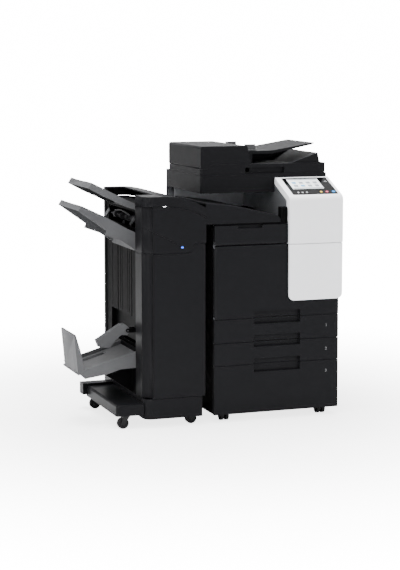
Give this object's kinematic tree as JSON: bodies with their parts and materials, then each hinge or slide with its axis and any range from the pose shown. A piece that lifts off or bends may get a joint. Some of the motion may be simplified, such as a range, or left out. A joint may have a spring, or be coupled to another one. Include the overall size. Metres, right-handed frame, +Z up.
{
  "type": "photocopier",
  "caption": "Floor-standing colour copier with paper drawers, flatbed scanner, document feeder and tilted control panel, docked to a stapling finisher with output trays.",
  "frame": {"origin": "centre of the bounding box's footprint, on the floor under the casters", "axes": "+X to the right along the length of the machine with its finisher, +Y to the back, +Z up"},
  "size_m": [1.216, 0.688, 1.231],
  "materials": {
    "frame_steel": "matt",
    "cover_charcoal": "fine texture",
    "side_black": "fine texture",
    "panel_white": "satin",
    "panel_glass": "gloss",
    "platen_glass": "clear",
    "tray_grey": "fine texture",
    "booklet_grey": "fine texture",
    "inner_dark": "matt",
    "inner_grey": "matt",
    "bin_grey": "matt",
    "roller_rubber": "matt",
    "caster_black": "satin",
    "wheel_black": "satin",
    "hinge_steel": "brushed",
    "key_blue": "satin",
    "key_red": "satin",
    "key_yellow": "satin"
  },
  "bodies": {
    "machine": {"chassis": "frame_steel", "left_cover": "side_black", "right_cover": "cover_charcoal", "rear_cover": "cover_charcoal", "relay_unit": "cover_charcoal", "exit_tray": "side_black", "scanner_housing": "cover_charcoal", "platen_glass": "platen_glass", "panel_housing": "panel_white", "panel_glass": "panel_glass", "feeder_hinges": "hinge_steel", "power_inlet": "inner_dark", "toner_bottles": "inner_grey", "imaging_units": "inner_dark", "transfer_unit": "inner_grey", "fuser_unit": "inner_grey", "waste_toner_box": "inner_grey", "finisher_frame": "side_black", "finisher_upper_cover": "cover_charcoal", "finisher_top_cover": "cover_charcoal", "finisher_rear_cover": "cover_charcoal", "finisher_plinth": "cover_charcoal", "stabiliser_base": "cover_charcoal", "fixed_caster_forks": "caster_black", "booklet_tray": "booklet_grey", "upper_output_tray": "tray_grey"},
    "toner_door": {"toner_door": "cover_charcoal"},
    "front_door": {"front_door": "cover_charcoal", "door_trim": "panel_white"},
    "tray_1": {"tray_1_face": "cover_charcoal", "tray_1_bin": "bin_grey"},
    "tray_2": {"tray_2_face": "cover_charcoal", "tray_2_bin": "bin_grey"},
    "tray_3": {"tray_3_face": "cover_charcoal", "tray_3_bin": "bin_grey"},
    "feeder": {"feeder_base": "cover_charcoal"},
    "feeder_cover": {"feeder_cover": "cover_charcoal"},
    "document_tray": {"document_tray": "cover_charcoal"},
    "guide_front": {"guide_front": "tray_grey"},
    "guide_rear": {"guide_rear": "tray_grey"},
    "feed_rollers": {"feed_rollers": "roller_rubber"},
    "scan_carriage": {"scan_carriage": "inner_dark"},
    "bypass_tray": {"bypass_tray": "cover_charcoal"},
    "start_key": {"start_key": "key_blue"},
    "stop_key": {"stop_key": "key_red"},
    "reset_key": {"reset_key": "key_yellow"},
    "finisher_door": {"finisher_door": "cover_charcoal"},
    "lower_output_tray": {"lower_output_tray": "tray_grey"},
    "booklet_arm": {"booklet_arm": "booklet_grey"},
    "exit_rollers": {"exit_rollers": "roller_rubber"},
    "main_rear_wheels": {"main_rear_wheels": "wheel_black"},
    "finisher_right_wheels": {"finisher_right_wheels": "wheel_black"},
    "main_front_left_fork": {"main_front_left_fork": "caster_black"},
    "main_front_left_wheel": {"main_front_left_wheel": "wheel_black"},
    "main_front_right_fork": {"main_front_right_fork": "caster_black"},
    "main_front_right_wheel": {"main_front_right_wheel": "wheel_black"},
    "finisher_front_left_fork": {"finisher_front_left_fork": "caster_black"},
    "finisher_front_left_wheel": {"finisher_front_left_wheel": "wheel_black"},
    "finisher_rear_left_fork": {"finisher_rear_left_fork": "caster_black"},
    "finisher_rear_left_wheel": {"finisher_rear_left_wheel": "wheel_black"}
  },
  "joints": [
    {"name": "toner_door_hinge", "type": "hinge", "parent": "machine", "child": "toner_door", "pos_m": [0.171, -0.318, 0.805], "axis": [1, 0, 0], "range_deg": [0, 80]},
    {"name": "front_door_hinge", "type": "hinge", "parent": "machine", "child": "front_door", "pos_m": [0.007, -0.318, 0.629], "axis": [0, 0, -1], "range_deg": [0, 90]},
    {"name": "tray_1_slide", "type": "slide", "parent": "machine", "child": "tray_1", "axis": [0, -1, 0], "range_m": [0, 0.45]},
    {"name": "tray_2_slide", "type": "slide", "parent": "machine", "child": "tray_2", "axis": [0, -1, 0], "range_m": [0, 0.45]},
    {"name": "tray_3_slide", "type": "slide", "parent": "machine", "child": "tray_3", "axis": [0, -1, 0], "range_m": [0, 0.45]},
    {"name": "feeder_hinge", "type": "hinge", "parent": "machine", "child": "feeder", "pos_m": [0.296, 0.309, 1.112], "axis": [-1, 0, 0], "range_deg": [0, 60]},
    {"name": "feeder_cover_hinge", "type": "hinge", "parent": "feeder", "child": "feeder_cover", "pos_m": [-0.003, 0.066, 1.1293], "axis": [0, -1, 0], "range_deg": [0, 80]},
    {"name": "document_tray_hinge", "type": "hinge", "parent": "feeder", "child": "document_tray", "pos_m": [0.251, 0.058, 1.189], "axis": [0, -1, 0], "range_deg": [0, 20]},
    {"name": "guide_front_slide", "type": "slide", "parent": "document_tray", "child": "guide_front", "axis": [0, 1, 0], "range_m": [0, 0.075]},
    {"name": "guide_rear_slide", "type": "slide", "parent": "document_tray", "child": "guide_rear", "axis": [0, -1, 0], "range_m": [0, 0.075]},
    {"name": "feed_rollers_spin", "type": "hinge", "parent": "feeder", "child": "feed_rollers", "pos_m": [0.196, 0.066, 1.16], "axis": [0, 1, 0], "continuous": true},
    {"name": "scan_carriage_slide", "type": "slide", "parent": "machine", "child": "scan_carriage", "axis": [1, 0, 0], "range_m": [0, 0.45]},
    {"name": "bypass_tray_hinge", "type": "hinge", "parent": "machine", "child": "bypass_tray", "pos_m": [0.591, -0.029, 0.505], "axis": [0, 1, 0], "range_deg": [0, 65]},
    {"name": "start_key_press", "type": "slide", "parent": "machine", "child": "start_key", "axis": [0, 0.3976, -0.9176], "range_m": [0, 0.0012], "stiffness_N_per_m": 300, "springref_m": -0.001},
    {"name": "stop_key_press", "type": "slide", "parent": "machine", "child": "stop_key", "axis": [0, 0.3976, -0.9176], "range_m": [0, 0.0012], "stiffness_N_per_m": 300, "springref_m": -0.001},
    {"name": "reset_key_press", "type": "slide", "parent": "machine", "child": "reset_key", "axis": [0, 0.3976, -0.9176], "range_m": [0, 0.0012], "stiffness_N_per_m": 300, "springref_m": -0.001},
    {"name": "finisher_door_hinge", "type": "hinge", "parent": "machine", "child": "finisher_door", "pos_m": [-0.053, -0.318, 0.45], "axis": [0, 0, 1], "range_deg": [0, 90]},
    {"name": "lower_output_tray_slide", "type": "slide", "parent": "machine", "child": "lower_output_tray", "axis": [0, 0, -1], "range_m": [0, 0.33]},
    {"name": "booklet_arm_hinge", "type": "hinge", "parent": "machine", "child": "booklet_arm", "pos_m": [-0.34, -0.099, 0.405], "axis": [0, 1, 0], "range_deg": [0, 25]},
    {"name": "exit_rollers_spin", "type": "hinge", "parent": "machine", "child": "exit_rollers", "pos_m": [-0.308, 0.026, 0.906], "axis": [0, 1, 0], "continuous": true},
    {"name": "main_front_left_swivel", "type": "hinge", "parent": "machine", "child": "main_front_left_fork", "pos_m": [0.061, -0.249, 0.058], "axis": [0, 0, 1], "continuous": true},
    {"name": "main_front_left_roll", "type": "hinge", "parent": "main_front_left_fork", "child": "main_front_left_wheel", "pos_m": [0.061, -0.269, 0.025], "axis": [1, 0, 0], "continuous": true},
    {"name": "main_front_right_swivel", "type": "hinge", "parent": "machine", "child": "main_front_right_fork", "pos_m": [0.531, -0.249, 0.058], "axis": [0, 0, 1], "continuous": true},
    {"name": "main_front_right_roll", "type": "hinge", "parent": "main_front_right_fork", "child": "main_front_right_wheel", "pos_m": [0.531, -0.269, 0.025], "axis": [1, 0, 0], "continuous": true},
    {"name": "finisher_front_left_swivel", "type": "hinge", "parent": "machine", "child": "finisher_front_left_fork", "pos_m": [-0.399, -0.287, 0.058], "axis": [0, 0, 1], "continuous": true},
    {"name": "finisher_front_left_roll", "type": "hinge", "parent": "finisher_front_left_fork", "child": "finisher_front_left_wheel", "pos_m": [-0.417, -0.287, 0.025], "axis": [0, 1, 0], "continuous": true},
    {"name": "finisher_rear_left_swivel", "type": "hinge", "parent": "machine", "child": "finisher_rear_left_fork", "pos_m": [-0.399, 0.16, 0.058], "axis": [0, 0, 1], "continuous": true},
    {"name": "finisher_rear_left_roll", "type": "hinge", "parent": "finisher_rear_left_fork", "child": "finisher_rear_left_wheel", "pos_m": [-0.417, 0.16, 0.025], "axis": [0, 1, 0], "continuous": true},
    {"name": "main_rear_roll", "type": "hinge", "parent": "machine", "child": "main_rear_wheels", "pos_m": [0.296, 0.271, 0.025], "axis": [1, 0, 0], "continuous": true},
    {"name": "finisher_right_roll", "type": "hinge", "parent": "machine", "child": "finisher_right_wheels", "pos_m": [-0.099, -0.009, 0.025], "axis": [0, 1, 0], "continuous": true}
  ],
  "couplings": [
    {"joint": "guide_rear_slide", "follows": "guide_front_slide", "ratio": 1}
  ]
}
